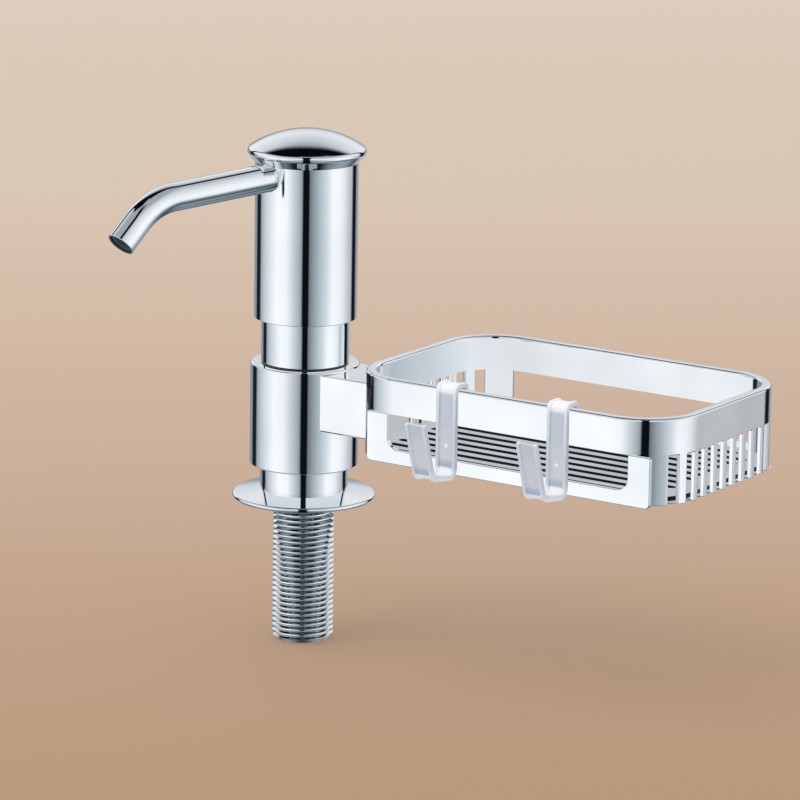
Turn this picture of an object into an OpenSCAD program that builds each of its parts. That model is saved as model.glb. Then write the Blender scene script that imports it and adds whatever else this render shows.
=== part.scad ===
// Deck-mounted soap dispenser with a swivelling caddy and two clip-on hooks.
// Origin: centre of the flange's underside. +Z runs up the dispenser's axis
// and +X runs along the caddy's arm, towards the basket.

/* [Deck fixing] */
// Outer diameter of the shank under the deck, a G 1/2 pipe size
shank_d = 20.955; // [19:0.005:24]
// Length of the shank under the deck
shank_length = 49.5; // [35:0.5:80]
// Bore through the shank
shank_bore = 17.8; // [16.8:0.1:18.2]
// Bevel at the shank's lower end
shank_bevel = 1.5; // [0.5:0.1:2]
// How much smaller the radius of the core tube is above the deck
core_step = 0.3; // [0.2:0.05:0.6]
// How far the flange reaches past the body
flange_reach = 9.5; // [8:0.5:16]
// Height of the flange's upright edge
flange_edge_h = 1.7; // [1.2:0.1:3]
// Rise of the flange's sloping top
flange_rise = 1.3; // [0.6:0.1:3]
// Width of the deck seal
seal_w = 3.8; // [2:0.1:5]
// Thickness of the deck seal
seal_t = 1.1; // [0.6:0.1:1.4]
// Width of the metal left outside the deck seal
seal_margin = 2.8; // [2:0.1:3.2]

/* [Body] */
// Diameter of the body, above and below the caddy's ring
body_d = 29.8; // [29:0.1:36]
// Height of the body below the caddy's ring
lower_h = 8.4; // [5:0.1:20]
// Height of the body above the caddy's ring
upper_h = 38.6; // [36:0.1:60]
// Wall of the upper body
upper_wall = 2.7; // [2.2:0.1:3.2]
// Height of the foot that joins the upper body to the core tube
upper_foot_h = 10; // [5:0.5:14]
// How far the core tube's top stays below the upper body's top
core_recess = 8; // [7:0.1:11]
// Height of the guide ring that the head slides on
guide_h = 4; // [2:0.1:6]
// Depth of the guide ring's groove
guide_groove = 0.8; // [0.4:0.1:1]

/* [Pump] */
// Travel of the pump
stroke = 13; // [8:0.5:13.5]
// Bore of the pump's cylinder
pump_bore = 13.2; // [12:0.1:13.8]
// Wall of the pump's cylinder
pump_wall = 1.4; // [1:0.1:1.5]
// Thickness of the cylinder's top rim
pump_rim_t = 2; // [1.5:0.1:3]
// Diameter of the stem
stem_d = 8; // [7:0.1:9]
// Bore of the stem
stem_bore = 5.2; // [4.9:0.1:5.6]
// Length of the piston
piston_l = 8; // [6:0.1:9]
// Height of the collar's rim, above the upper body
collar_rim_h = 4; // [3:0.1:6]
// Diameter of the inlet valve's ball
inlet_ball_d = 4.8; // [4.4:0.1:5.2]
// Diameter of the outlet valve's ball
outlet_ball_d = 4.2; // [3.9:0.1:4.5]
// Lift of each valve's ball
ball_lift = 1; // [0.6:0.1:1.5]
// Outer diameter of the spigot that takes the dip tube
spigot_d = 6.8; // [6:0.1:7.6]
// Length of the spigot that takes the dip tube
spigot_l = 12; // [6:0.5:16]
// Wire diameter of the return spring
wire_d = 0.8; // [0.6:0.1:1]
// Turns of the return spring
spring_turns = 7; // [5:1:9]
// Length of the return spring with the head pressed down
spring_solid = 10; // [9.2:0.1:14]

/* [Head] */
// Wall of the head's sleeve
sleeve_wall = 2.2; // [1.4:0.1:3]
// Radial gap between the sleeve and the body
sleeve_gap = 0.3; // [0.2:0.05:0.5]
// Gap left under the sleeve with the head pressed down
head_rest_gap = 2.1; // [1:0.1:5]
// Height of the core inside the head
head_core_h = 10; // [9:0.1:14]
// Gap between the core and the collar with the head pressed down
core_rest_gap = 2.8; // [1:0.1:4]
// How far the cap reaches past the sleeve
cap_reach = 2.6; // [1.5:0.1:4]
// Height of the cap's sloping underside
cap_slope_h = 3.1; // [2:0.1:5]
// Height of the cap's upright edge
cap_edge_h = 1.4; // [0.8:0.1:3]
// Radius of the cap's domed top
dome_r = 33; // [26:0.5:60]

/* [Spout] */
// Outer diameter of the spout
spout_d = 9.6; // [8:0.1:10]
// Wall of the spout's tube
spout_wall = 0.8; // [0.5:0.1:1.1]
// Wall of the liner in the spout
liner_wall = 0.7; // [0.4:0.1:1]
// How far the liner stays behind the spout's mouth
liner_recess = 2.5; // [1:0.1:5]
// Direction of the spout, turned from the caddy's arm
spout_turn = 256.4; // [200:0.1:300]
// Slope of the spout's straight part
spout_drop = 2.2; // [0:0.1:6]
// Length of the spout from the axis to its bend
spout_straight = 58.2; // [40:0.1:90]
// Radius of the spout's bend
spout_bend_r = 24; // [12:0.5:40]
// Angle of the spout's bend
spout_bend = 41.2; // [20:0.1:80]
// Length of the spout after its bend
spout_leg = 9.5; // [5:0.1:30]

/* [Caddy ring and arm] */
// How far the ring's face stands out from the body
ring_step = 3.6; // [2:0.1:6]
// Height of the ring
ring_h = 35.2; // [28:0.1:50]
// Wall of the nylon bushes in the ring
bush_wall = 2.4; // [1.5:0.1:2.8]
// Length of each bush in the ring
bush_l = 8; // [4:0.5:12]
// Thickness of each bush's lip
bush_lip = 0.4; // [0.3:0.05:0.6]
// Width of the arm
arm_w = 23.2; // [14:0.1:28]
// Height of the arm
arm_h = 19.5; // [12:0.1:24]
// How far the arm's top stays below the ring's top
arm_drop = 0.8; // [0.3:0.1:4]
// Radius along the arm's long edges
arm_edge = 0.7; // [0.3:0.1:2]

/* [Basket] */
// Outer length of the basket
basket_l = 125.2; // [100:0.1:160]
// Outer width of the basket
basket_w = 82.6; // [66:0.1:100]
// Height of the basket
basket_h = 28.7; // [26:0.1:40]
// Outer radius of the basket's corners
basket_r = 20.5; // [15:0.1:26]
// Distance from the dispenser's axis to the basket's near wall
basket_reach = 28.4; // [26:0.1:45]
// How far the basket's front lies before the dispenser's axis
basket_front = 19.2; // [15:0.1:30]
// Height of the basket's rim above the ring's top
rim_rise = 4; // [0:0.1:8]
// Height of the thick band round the top
band_h = 11.8; // [9:0.1:14]
// Thickness of the band
band_t = 3.75; // [2.6:0.05:4.5]
// Radius along the band's top edges
band_edge = 1; // [0.4:0.1:1.2]
// Thickness of the wall under the band
skirt_t = 1.6; // [1.2:0.1:2.2]
// Radius along the basket's bottom edge
skirt_edge = 1.4; // [0.5:0.1:1.5]
// Width of the ledge that carries the floor
ledge_w = 3; // [2:0.1:5]
// Thickness of the ledge that carries the floor
ledge_t = 1; // [0.8:0.1:2]
// Width of each upright slot
slot_w = 3.9; // [2.5:0.1:4.5]
// Spacing of the upright slots
slot_pitch = 6.07; // [5.5:0.01:7]
// How far past the start of a corner's curve a short side's outer slot may lie
slot_overrun = 3.6; // [2:0.1:5]
// Upright slots along each short side
slot_count = 9; // [5:2:9]
// Direction of the slot in each of the far side's corners
corner_slot_turn = 30; // [24:1:45]
// Direction of the slot in the near side's back corner
near_corner_turn = 41.5; // [35:0.5:48]
// How far the near side's slots lie nearer to the back than the far side's
near_slot_shift = 3.1; // [0:0.1:6]
// Solid wall left between a slot and the band
slot_top_margin = 0.5; // [0.2:0.1:3]
// Length of the window in the back
back_window_l = 94; // [60:0.5:98]
// Height of the solid wall under each window
sill_h = 4.9; // [3:0.1:8]

/* [Front panel] */
// Distance from the basket's near end to the panel
panel_start = 10.1; // [6:0.1:12]
// Distance from the panel to the basket's far end
panel_end = 5.6; // [4:0.1:12]
// Width of each of the panel's posts
post_w = 8.4; // [5:0.1:14]
// Radius of the window's lower corners
window_r = 4; // [1:0.1:6]
// Radius of the panel's outer corners
panel_r = 1.8; // [0.5:0.1:4]

/* [Floor] */
// Thickness of the floor
floor_t = 1.5; // [1:0.1:3]
// Spacing of the floor's slots
floor_pitch = 6.5; // [5.6:0.1:7]
// Width of the floor's slots
floor_slot_w = 3.1; // [2:0.1:4]
// Slots in the floor
floor_slots = 11; // [7:2:11]
// How much shorter the two outer slots in the floor are
floor_slot_cut = 14; // [6:0.5:24]
// Solid border at the ends of the floor's slots
floor_border = 7; // [5:0.5:12]

/* [Hooks] */
// Width of each hook
hook_w = 8.2; // [6:0.1:10]
// Thickness of each hook's strip
hook_t = 1.8; // [1.4:0.1:2.2]
// Width of the raised edges of each hook's strip
hook_rib = 1.2; // [0.8:0.1:2]
// Thickness of the web between the raised edges
hook_web = 0.8; // [0.5:0.1:1.2]
// Place of the near hook along the basket
hook_left_x = 42.6; // [32:0.1:46]
// Place of the far hook along the basket
hook_right_x = 85.4; // [80:0.1:92]
// How far each hook's back tab reaches down inside the rim
hook_tab = 7; // [4:0.5:10]
// Length of each hook, from the rim to its bottom
hook_drop = 31; // [30.5:0.5:50]
// Opening between a hook's strap and its prong, at the bottom
hook_mouth = 10; // [6:0.5:18]
// Inner radius at a hook's bottom corners
hook_bend = 3.5; // [2:0.1:4.4]
// Lean of a hook's prong from upright
hook_lean = 19.5; // [5:0.5:30]
// Length of a hook's prong above its bend
hook_prong = 17.5; // [10:0.5:26]

/* [Hidden] */
$fn = 64;

// Clearances, all radial or face to face
running_fit = 0.07; // between a shaft and the hole that it turns or slides in
seat_fit = 0.05;    // between pieces that are pressed or screwed together
ball_gap = 0.03;    // between a resting ball and its seat
hook_gap = 0.3;     // between a hook and the rim
over = 1;           // how far a cut runs past the face that it cuts

// Radii of the fixed column
shank_r = shank_d / 2;
bore_r = shank_bore / 2;
core_r = shank_r - core_step;
body_r = body_d / 2;
flange_r = body_r + flange_reach;
upper_inner_r = body_r - upper_wall;
guide_r = body_r + sleeve_gap - running_fit;
stem_r = stem_d / 2;
stem_inner_r = stem_bore / 2;

// Radii of the pump
pump_inner_r = pump_bore / 2;
pump_outer_r = pump_inner_r + pump_wall;
collar_seal_r = stem_r + 1.6;
inlet_r = inlet_ball_d / 2;
outlet_r = outlet_ball_d / 2;
spigot_r = spigot_d / 2;
passage_r = spigot_r - 1.8;
chamber_r = inlet_r + 0.6;
shoulder_r = stem_r + 1.3;

// Radii of the head
sleeve_inner_r = body_r + sleeve_gap;
sleeve_r = sleeve_inner_r + sleeve_wall;
cap_r = sleeve_r + cap_reach;
spout_r = spout_d / 2;
spout_inner_r = spout_r - spout_wall;
liner_r = spout_inner_r - seat_fit;
spout_root = 9;
leg_step = 0.02;
leg_overlap = 0.4;

// Radii of the caddy's ring
bush_inner_r = core_r + running_fit;
bush_r = bush_inner_r + bush_wall;
ring_bore_r = bush_r + seat_fit;
ring_r = body_r + ring_step;

// Heights of the fixed column, from the deck up
flange_h = flange_edge_h + flange_rise;
z_ring = flange_h + lower_h + bush_lip;
z_ring_top = z_ring + ring_h;
z_upper = z_ring_top + bush_lip;
z_upper_top = z_upper + upper_h;
z_core_top = z_upper_top - core_recess;
gasket_t = 1;
z_rim = z_core_top + gasket_t;
z_rim_top = z_rim + pump_rim_t;
z_collar_top = z_upper_top + collar_rim_h;
guide_top_margin = 4;
z_guide = z_upper_top - guide_top_margin - guide_h;

// Heights of the pump, from its rim down
shoulder_h = 1.5;
piston_drop = 9;
z_piston_top = z_rim_top - piston_drop;
z_piston = z_piston_top - piston_l;
z_retainer_top = z_piston - stroke - spring_solid;
retainer_t = 1.2;
z_retainer = z_retainer_top - retainer_t;
inlet_seat_rise = sqrt(inlet_r ^ 2 - passage_r ^ 2) + ball_gap;
z_inlet_seat = z_retainer - inlet_seat_rise - inlet_r - ball_lift;
pump_floor_t = 2;
z_pump_floor = z_inlet_seat - pump_floor_t;
z_spigot = z_pump_floor - spigot_l;

// Heights in the stem
stem_tip = 2;
z_stem = z_piston - stem_tip;
orifice_r = outlet_r - 0.6;
z_outlet_seat = z_stem + 1.5;
outlet_seat_rise = sqrt(outlet_r ^ 2 - orifice_r ^ 2) + ball_gap;
outlet_stop_r = outlet_r - 0.2;
outlet_stop_drop = sqrt(outlet_r ^ 2 - outlet_stop_r ^ 2) + ball_gap;
z_outlet_stop = z_outlet_seat + outlet_seat_rise + ball_lift + outlet_stop_drop;

// Heights of the head, from the collar up
z_head = z_upper + stroke + head_rest_gap;
z_head_core = z_collar_top + stroke + core_rest_gap;
z_head_top = z_head_core + head_core_h;
spout_rise = 6.9;
z_spout = z_head_core + spout_rise;
socket_depth = 4.4;
z_stem_top = z_head_core + socket_depth - 0.2;
z_cap_edge = z_head_top + cap_slope_h;
z_dome = z_cap_edge + cap_edge_h;
dome_foot_r = cap_r - cap_edge_h / 2;
dome_rise = dome_r - sqrt(dome_r ^ 2 - dome_foot_r ^ 2);
cap_spigot_h = 2.6;
cap_spigot_w = 2;
cap_seal_t = 1.2;
cap_seal_r = 8.4;
cap_seal_w = 3;

// Places of the caddy
basket_x = basket_reach + basket_l / 2;
basket_y = basket_w / 2 - basket_front;
z_basket_top = z_ring_top + rim_rise;
z_basket = z_basket_top - basket_h;
z_band = z_basket_top - band_h;
z_arm_top = z_ring_top - arm_drop;
z_arm = z_arm_top - arm_h;
flat_l = basket_l - 2 * basket_r;
flat_w = basket_w - 2 * basket_r;
// The panel lies flat where the corner's curve falls back by the panel's thickness
panel_t = skirt_t;
front_cut = flat_l + 2 * sqrt(basket_r ^ 2 - (basket_r - panel_t) ^ 2);
z_sill = z_basket + sill_h;
z_floor = z_basket + ledge_t;
// The skirt runs a little way into the ledge and the band, so that they're one casting
cast_root = 0.15;

// Lies along the z axis: a straight pipe wall from z0 to z1
module tube(outer, inner, z0, z1) {
    difference() {
        translate([0, 0, z0]) cylinder(r = outer, h = z1 - z0);
        translate([0, 0, z0 - over]) cylinder(r = inner, h = z1 - z0 + 2 * over);
    }
}

// Profile of a bar with all its corners rounded, from (0, 0)
module round_bar(w, h, r) {
    translate([r, 0]) square([w - 2 * r, h]);
    translate([0, r]) square([w, h - 2 * r]);
    for (x = [r, w - r], y = [r, h - r]) translate([x, y]) circle(r);
}

// Profile of a slot with round ends, centred on (0, 0), along x
module round_slot(l, w) {
    square([l - w, w], center = true);
    for (s = [-1, 1]) translate([s * (l - w) / 2, 0]) circle(w / 2);
}

// Outline of the basket, drawn in by inset on all sides
module basket_outline(inset) {
    l = basket_l - 2 * inset;
    w = basket_w - 2 * inset;
    translate([basket_x - l / 2, basket_y - w / 2]) round_bar(l, w, basket_r - inset);
}

// Carries a wall profile round the basket. In the profile, x is the distance
// from the corner's centre, so the outer face lies at x = basket_r.
module around_basket() {
    for (k = [0 : 3]) {
        sx = (k == 0 || k == 3) ? 1 : -1;
        sy = (k < 2) ? 1 : -1;
        run = (k % 2 == 0) ? flat_l : flat_w;
        translate([basket_x + sx * flat_l / 2, basket_y + sy * flat_w / 2, 0])
            rotate([0, 0, 90 * k]) {
                rotate_extrude(angle = 90) children();
                rotate([0, 0, 90]) translate([0, run, 0])
                    rotate([90, 0, 0]) linear_extrude(run) children();
            }
    }
}

// Round bar along the spout's route: straight out, round the bend and down its
// leg. The leg is a hair thinner, so that it starts inside the bend's end.
module spout_route(r, start, leg) {
    spout_frame() {
        translate([0, 0, start]) cylinder(r = r, h = spout_straight - start);
        translate([spout_bend_r, 0, spout_straight]) {
            rotate([90, 0, 180]) rotate_extrude(angle = spout_bend) translate([spout_bend_r, 0]) circle(r);
            rotate([0, spout_bend, 0]) translate([-spout_bend_r, 0, -leg_overlap])
                cylinder(r = r - leg_step, h = leg + leg_overlap);
        }
    }
}

// Cutter for the hole that holds the spout's straight end
module spout_hole() {
    spout_frame() translate([0, 0, spout_root]) cylinder(r = spout_r + seat_fit, h = spout_straight);
}

// Puts z along the spout and x down from it
module spout_frame() {
    rotate([0, 0, spout_turn]) translate([0, 0, z_spout]) rotate([0, 90 + spout_drop, 0]) children();
}

module threaded_shank() {
    color("silver") difference() {
        union() {
            translate([0, 0, -shank_length]) cylinder(r1 = shank_r - shank_bevel, r2 = shank_r, h = shank_bevel);
            translate([0, 0, shank_bevel - shank_length]) cylinder(r = shank_r, h = shank_length - shank_bevel);
            cylinder(r = core_r, h = z_core_top);
        }
        translate([0, 0, -shank_length - over]) cylinder(r = bore_r, h = shank_length + z_core_top + 2 * over);
    }
}

module flange() {
    round_r = flange_edge_h / 2;
    color("gainsboro") difference() {
        rotate_extrude() {
            polygon([[core_r + seat_fit, 0], [flange_r - round_r, 0], [flange_r - round_r, flange_edge_h],
                     [body_r, flange_h], [core_r + seat_fit, flange_h]]);
            translate([flange_r - round_r, round_r]) circle(round_r);
        }
        tube(flange_r - seal_margin + seat_fit, flange_r - seal_margin - seal_w - seat_fit, -over, seal_t);
    }
}

module deck_seal() {
    color("dimgray") tube(flange_r - seal_margin, flange_r - seal_margin - seal_w, 0, seal_t);
}

module lower_body() {
    color("gainsboro") tube(body_r, core_r + seat_fit, flange_h, flange_h + lower_h);
}

module upper_body() {
    color("gainsboro") difference() {
        tube(body_r, core_r + seat_fit, z_upper, z_upper_top);
        translate([0, 0, z_upper + upper_foot_h]) cylinder(r = upper_inner_r, h = upper_h);
        tube(body_r + over, body_r - guide_groove, z_guide, z_guide + guide_h);
    }
}

module guide_ring() {
    color("ivory") tube(guide_r, body_r - guide_groove + seat_fit, z_guide + seat_fit, z_guide + guide_h - seat_fit);
}

module pump_collar() {
    seal_h = 2;
    color("ivory") difference() {
        union() {
            translate([0, 0, z_upper_top]) cylinder(r = body_r - 0.3, h = collar_rim_h);
            translate([0, 0, z_rim_top]) cylinder(r = upper_inner_r - seat_fit, h = z_upper_top - z_rim_top);
        }
        translate([0, 0, z_rim_top - over]) cylinder(r = stem_r + running_fit, h = z_collar_top);
        translate([0, 0, z_upper_top - seal_h / 2]) cylinder(r = collar_seal_r + seat_fit, h = seal_h);
    }
}

module stem_seal() {
    seal_h = 2;
    color("dimgray") tube(collar_seal_r, stem_r + running_fit, z_upper_top - seal_h / 2 + seat_fit,
                          z_upper_top + seal_h / 2 - seat_fit);
}

module pump_housing() {
    color("ivory") difference() {
        union() {
            translate([0, 0, z_rim]) cylinder(r = upper_inner_r - seat_fit, h = pump_rim_t);
            translate([0, 0, z_pump_floor]) cylinder(r = pump_outer_r, h = z_rim_top - z_pump_floor);
            translate([0, 0, z_spigot]) cylinder(r = spigot_r, h = spigot_l);
        }
        translate([0, 0, z_retainer]) cylinder(r = pump_inner_r, h = z_rim_top);
        translate([0, 0, z_inlet_seat]) cylinder(r = chamber_r, h = z_rim_top);
        translate([0, 0, z_spigot - over]) cylinder(r = passage_r, h = z_rim_top);
    }
}

module housing_gasket() {
    color("dimgray") tube(upper_inner_r - seat_fit, pump_outer_r + seat_fit, z_core_top, z_rim);
}

// Disc over the inlet ball, with four ports round its middle hole
module ball_retainer() {
    port_r = 0.7;
    color("ivory") difference() {
        translate([0, 0, z_retainer]) cylinder(r = pump_inner_r - seat_fit, h = retainer_t);
        translate([0, 0, z_retainer - over]) cylinder(r = 0.8, h = retainer_t + 2 * over);
        for (a = [0 : 90 : 270])
            rotate([0, 0, a]) translate([chamber_r - port_r, 0, z_retainer - over])
                cylinder(r = port_r, h = retainer_t + 2 * over);
    }
}

module inlet_ball() {
    color("lightsteelblue") translate([0, 0, z_inlet_seat + inlet_seat_rise]) sphere(r = inlet_r);
}

module pump_stem() {
    color("white") difference() {
        union() {
            translate([0, 0, z_stem]) cylinder(r = stem_r, h = z_stem_top - z_stem);
            translate([0, 0, z_piston_top]) cylinder(r = shoulder_r, h = shoulder_h);
        }
        translate([0, 0, z_stem - over]) cylinder(r = orifice_r, h = stem_bore);
        translate([0, 0, z_outlet_seat]) cylinder(r = stem_inner_r, h = z_outlet_stop - z_outlet_seat);
        translate([0, 0, z_outlet_stop - over]) cylinder(r = outlet_stop_r, h = z_stem_top);
    }
}

// Sleeve with a sealing lip at each end
module piston() {
    lip_h = 1.6;
    waist_r = pump_inner_r - 0.8;
    color("gray") difference() {
        tube(pump_inner_r - running_fit, stem_r + seat_fit, z_piston, z_piston_top);
        tube(pump_inner_r + over, waist_r, z_piston + lip_h, z_piston_top - lip_h);
    }
}

module outlet_ball() {
    color("lightsteelblue") translate([0, 0, z_outlet_seat + outlet_seat_rise]) sphere(r = outlet_r);
}

// Round wire wound on the route of a helix
module return_spring() {
    sides = 6;
    steps = 16 * spring_turns;
    wire_r = wire_d / 2;
    coil_r = pump_inner_r - wire_r - 0.3;
    z_low = z_retainer_top + wire_r + seat_fit;
    z_high = z_piston - wire_r - seat_fit;
    points = [for (i = [0 : steps], j = [0 : sides - 1])
        let (turn = 360 * i / 16, around = 360 * j / sides,
             reach = coil_r + wire_r * cos(around),
             z = z_low + (z_high - z_low) * i / steps + wire_r * sin(around))
        [reach * cos(turn), reach * sin(turn), z]];
    walls = [for (i = [0 : steps - 1], j = [0 : sides - 1])
        let (a = i * sides + j, b = i * sides + (j + 1) % sides)
        each [[a, b, b + sides], [a, b + sides, a + sides]]];
    first = [for (j = [0 : sides - 1]) sides - 1 - j];
    last = [for (j = [0 : sides - 1]) steps * sides + j];
    color("silver") polyhedron(points = points, faces = concat(walls, [first, last]));
}

// Boss that joins the stem to the spout, inside the sleeve
module head_core() {
    channel_r = 1.8;
    color("ivory") difference() {
        translate([0, 0, z_head_core]) cylinder(r = sleeve_inner_r - seat_fit, h = head_core_h);
        translate([0, 0, z_head_core - over]) cylinder(r = stem_r + running_fit, h = socket_depth + over);
        translate([0, 0, z_head_core]) cylinder(r = channel_r, h = z_spout - z_head_core);
        rotate([0, 0, spout_turn]) translate([0, 0, z_spout]) rotate([0, 90 + spout_drop, 0])
            cylinder(r = channel_r, h = spout_root + over);
        spout_hole();
        tube(sleeve_r, sleeve_inner_r - cap_spigot_w - seat_fit, z_head_top - cap_spigot_h - seat_fit, z_head_top + over);
    }
}

module head_sleeve() {
    color("gainsboro") difference() {
        tube(sleeve_r, sleeve_inner_r, z_head, z_head_top);
        spout_hole();
    }
}

// Domed lid with a sloping underside and a spigot that fits in the sleeve
module cap() {
    cavity_r = sleeve_inner_r - 2 * cap_spigot_w;
    color("gainsboro") difference() {
        union() {
            rotate_extrude() {
                polygon([[0, z_head_top], [sleeve_r, z_head_top], [dome_foot_r, z_cap_edge],
                         [dome_foot_r, z_dome], [0, z_dome]]);
                translate([dome_foot_r, (z_cap_edge + z_dome) / 2]) circle(cap_edge_h / 2);
                intersection() {
                    translate([0, z_dome + dome_rise - dome_r]) circle(dome_r, $fn = 180);
                    translate([0, z_dome]) square([dome_foot_r, dome_rise + over]);
                }
            }
            tube(sleeve_inner_r - seat_fit, sleeve_inner_r - cap_spigot_w, z_head_top - cap_spigot_h, z_head_top + over);
        }
        translate([0, 0, z_head_top + cap_seal_t])
            cylinder(r1 = cavity_r, r2 = cavity_r - cap_slope_h, h = cap_slope_h);
        translate([0, 0, z_head_top - over]) cylinder(r = cap_seal_r + seat_fit, h = cap_seal_t + over);
        spout_hole();
    }
}

module cap_seal() {
    color("dimgray") tube(cap_seal_r, cap_seal_r - cap_seal_w, z_head_top, z_head_top + cap_seal_t);
}

module spout() {
    color("gainsboro") difference() {
        spout_route(spout_r, spout_root, spout_leg);
        spout_route(spout_inner_r, spout_root - over, spout_leg + over);
    }
}

module spout_liner() {
    color("slategray") difference() {
        spout_route(liner_r, spout_root, spout_leg - liner_recess);
        spout_route(liner_r - liner_wall, spout_root - over, spout_leg);
    }
}

// Ring round the core tube with the arm that ends on the basket's wall
module caddy_ring() {
    edge = 0.5;
    color("whitesmoke") difference() {
        union() {
            translate([0, 0, z_ring + edge]) cylinder(r = ring_r, h = ring_h - 2 * edge);
            translate([0, 0, z_ring]) cylinder(r1 = ring_r - edge, r2 = ring_r, h = edge);
            translate([0, 0, z_ring_top - edge]) cylinder(r1 = ring_r, r2 = ring_r - edge, h = edge);
            difference() {
                translate([0, -arm_w / 2, z_arm]) rotate([90, 0, 90])
                    linear_extrude(basket_reach + basket_r) round_bar(arm_w, arm_h, arm_edge);
                translate([0, 0, z_arm - over]) linear_extrude(arm_h + 2 * over) basket_outline(0);
            }
        }
        translate([0, 0, z_ring - over]) cylinder(r = ring_bore_r, h = ring_h + 2 * over);
    }
}

module bush_lower() {
    color("ivory") union() {
        tube(bush_r, bush_inner_r, z_ring - bush_lip, z_ring + bush_l);
        tube(body_r - 0.4, bush_inner_r, z_ring - bush_lip, z_ring);
    }
}

module bush_upper() {
    color("ivory") union() {
        tube(bush_r, bush_inner_r, z_ring_top - bush_l, z_ring_top + bush_lip);
        tube(body_r - 0.4, bush_inner_r, z_ring_top, z_ring_top + bush_lip);
    }
}

// Upright cutters for the slots in the skirt's short sides and outer corners
module slot_cutters() {
    depth = 8;
    z_slot_top = z_band - slot_top_margin;
    first = -(slot_count - 1) / 2;
    for (side = [-1, 1], k = [first : -first]) {
        y = k * slot_pitch + (side < 0 ? near_slot_shift : 0);
        behind_arm = side < 0 && abs(y + basket_y) < (arm_w + slot_w) / 2 + 1;
        in_corner = abs(y) > flat_w / 2 + slot_overrun + (side < 0 ? near_slot_shift : 0);
        if (!behind_arm && !in_corner)
            translate([basket_x + side * (basket_l - depth) / 2, basket_y + y, 0])
                slot_block(depth + 2 * over, z_slot_top);
    }
    for (turn = [corner_slot_turn, -corner_slot_turn, 180 - near_corner_turn])
        translate([basket_x + sign(cos(turn)) * flat_l / 2, basket_y + sign(sin(turn)) * flat_w / 2, 0])
            rotate([0, 0, turn]) translate([basket_r - depth / 2, 0, 0])
                slot_block(depth + 2 * over, z_slot_top);
}

module slot_block(depth, z_slot_top) {
    translate([-depth / 2, -slot_w / 2, z_basket - over]) cube([depth, slot_w, z_slot_top - z_basket + over]);
}

// Upright wall round the basket, between two insets from its outside
module basket_ring(z0, z1, outer, inner) {
    translate([0, 0, z0]) linear_extrude(z1 - z0) difference() {
        basket_outline(outer);
        basket_outline(inner);
    }
}

// Cast basket: a thick band above, a thin slotted skirt below it and a ledge.
// The band's top edges and the skirt's foot are round, so their profiles are swept.
module basket() {
    deep = basket_r - skirt_t;
    color("whitesmoke") union() {
        basket_ring(z_band, z_basket_top - band_edge, 0, band_t);
        around_basket() translate([basket_r - band_t, z_basket_top - 2 * band_edge]) {
            square([band_t, band_edge]);
            translate([band_edge, 0]) square([band_t - 2 * band_edge, 2 * band_edge]);
            for (x = [band_edge, band_t - band_edge]) translate([x, band_edge]) circle(band_edge);
        }
        difference() {
            union() {
                basket_ring(z_basket + skirt_edge, z_band + cast_root, 0, skirt_t);
                around_basket() {
                    translate([deep, z_basket + skirt_edge]) square([skirt_t, skirt_edge]);
                    translate([deep, z_basket]) square([skirt_t - skirt_edge, 2 * skirt_edge]);
                    translate([deep - cast_root, z_basket]) square([2 * cast_root, ledge_t]);
                    intersection() {
                        translate([basket_r - skirt_edge, z_basket + skirt_edge]) circle(skirt_edge);
                        translate([deep, z_basket]) square([skirt_t, 2 * skirt_edge]);
                    }
                }
            }
            slot_cutters();
            translate([basket_x - front_cut / 2, basket_y - basket_w / 2 - over, z_basket - over])
                cube([front_cut, basket_r, z_band - z_basket + over]);
            translate([basket_x - back_window_l / 2, basket_y + flat_w / 2 + over, z_sill])
                cube([back_window_l, basket_r, z_band - z_sill]);
        }
        basket_ring(z_basket, z_basket + ledge_t, skirt_t, skirt_t + ledge_w);
    }
}

// Flat plate with a wide window that is open to the band above it
module front_panel() {
    l = basket_l - panel_start - panel_end;
    h = z_band - z_basket;
    color("whitesmoke") translate([basket_reach + panel_start, basket_y - basket_w / 2 + panel_t, z_basket])
        rotate([90, 0, 0]) linear_extrude(panel_t) difference() {
            union() {
                round_bar(l, h, panel_r);
                translate([0, h - 2 * panel_r]) square([l - panel_r, 2 * panel_r]);
            }
            translate([post_w, sill_h]) round_bar(l - 2 * post_w, h, window_r);
        }
}

module floor_grille() {
    gap = 0.15;
    first = -(floor_slots - 1) / 2;
    slot_l = basket_l - 2 * (skirt_t + gap + floor_border);
    color("gainsboro") translate([0, 0, z_floor]) linear_extrude(floor_t) difference() {
        basket_outline(skirt_t + gap);
        for (k = [first : -first])
            translate([basket_x, basket_y + k * floor_pitch])
                round_slot(slot_l - (abs(k) == -first ? floor_slot_cut : 0), floor_slot_w);
    }
}

// Points of a hook's centre line, each with its heading. Each step of the route is
// [length, turn, radius of the turn], and a straight tail ends it.
function hook_line(route, tail, x, y, heading, i = 0) =
    i == len(route) ?
        [[x, y, heading], [x + tail * cos(heading), y + tail * sin(heading), heading]] :
        let (length = route[i][0], turn = route[i][1], side = sign(turn), r = side * route[i][2],
             steps = ceil(abs(turn) / 10),
             cx = x + length * cos(heading) - r * sin(heading),
             cy = y + length * sin(heading) + r * cos(heading),
             arc = [for (k = [0 : steps]) let (h = heading + turn * k / steps)
                 [cx + r * sin(h), cy - r * cos(h), h]])
        concat([[x, y, heading]], [for (k = [0 : steps - 1]) arc[k]],
               hook_line(route, tail, arc[steps][0], arc[steps][1], arc[steps][2], i + 1));

// Side view of a strip of thickness t that follows the centre line
module hook_profile(line, t) {
    polygon(concat(
        [for (p = line) [p[0] - t / 2 * sin(p[2]), p[1] + t / 2 * cos(p[2])]],
        [for (i = [len(line) - 1 : -1 : 0]) let (p = line[i])
            [p[0] + t / 2 * sin(p[2]), p[1] - t / 2 * cos(p[2])]]));
}

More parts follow.
